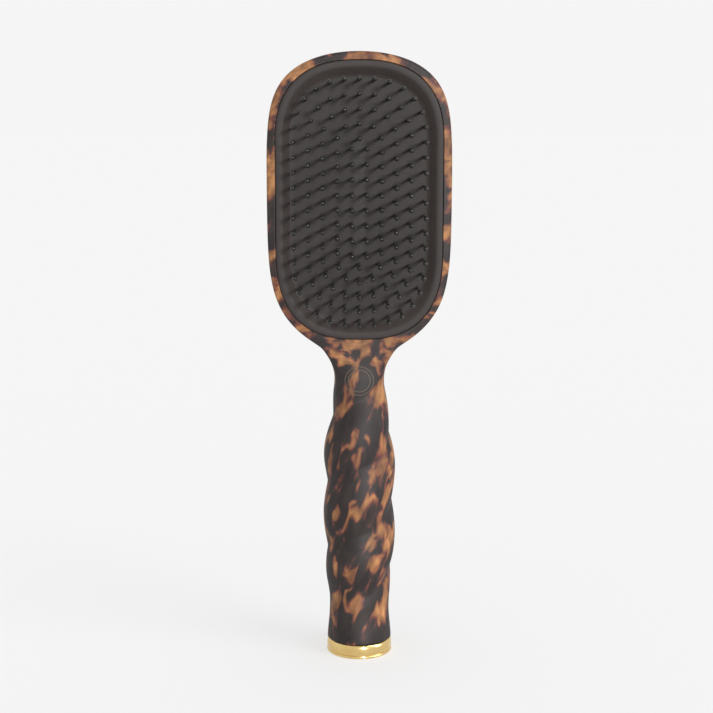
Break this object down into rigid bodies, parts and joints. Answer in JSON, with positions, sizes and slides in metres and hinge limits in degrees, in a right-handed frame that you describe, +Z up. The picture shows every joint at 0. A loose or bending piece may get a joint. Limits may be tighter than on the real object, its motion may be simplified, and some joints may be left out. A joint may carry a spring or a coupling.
{
  "type": "vanity hairbrush",
  "caption": "Hairbrush with a rubber bed of ball-tipped pins, a patterned moulded body, a twisted handle and a flat metal-look end cap that it stands on.",
  "frame": {"origin": "centre of the end cap's flat base", "axes": "+Z up along the handle to the head, -Y out of the face that carries the pins, +X to the right seen from that face"},
  "size_m": [0.072, 0.0393, 0.24],
  "materials": {
    "shell_plastic": "satin tortoiseshell pattern, dark brown with amber patches",
    "bed_rubber": "matt dark grey",
    "inner_plastic": "black, unpolished",
    "backing_sheet": "closed-cell foam",
    "pin_nylon": "glossy black",
    "cap_plating": "polished gold-coloured plating"
  },
  "bodies": {
    "brush_body": {"front_shell": "shell_plastic", "back_shell": "shell_plastic", "pin_bed": "bed_rubber", "bed_frame": "inner_plastic", "end_plug": "inner_plastic", "end_cap": "cap_plating"},
    "pin_field": {"pin_backing": "backing_sheet", "pins_ring_1": "pin_nylon", "pins_ring_2": "pin_nylon", "pins_ring_3": "pin_nylon", "pins_ring_4": "pin_nylon", "pins_ring_5": "pin_nylon"}
  },
  "joints": [
    {"name": "bed_press", "type": "slide", "parent": "brush_body", "child": "pin_field", "axis": [0, 1, 0], "range_m": [0, 0.0025], "stiffness_N_per_m": 4000, "deforming": ["pin_bed"]}
  ]
}
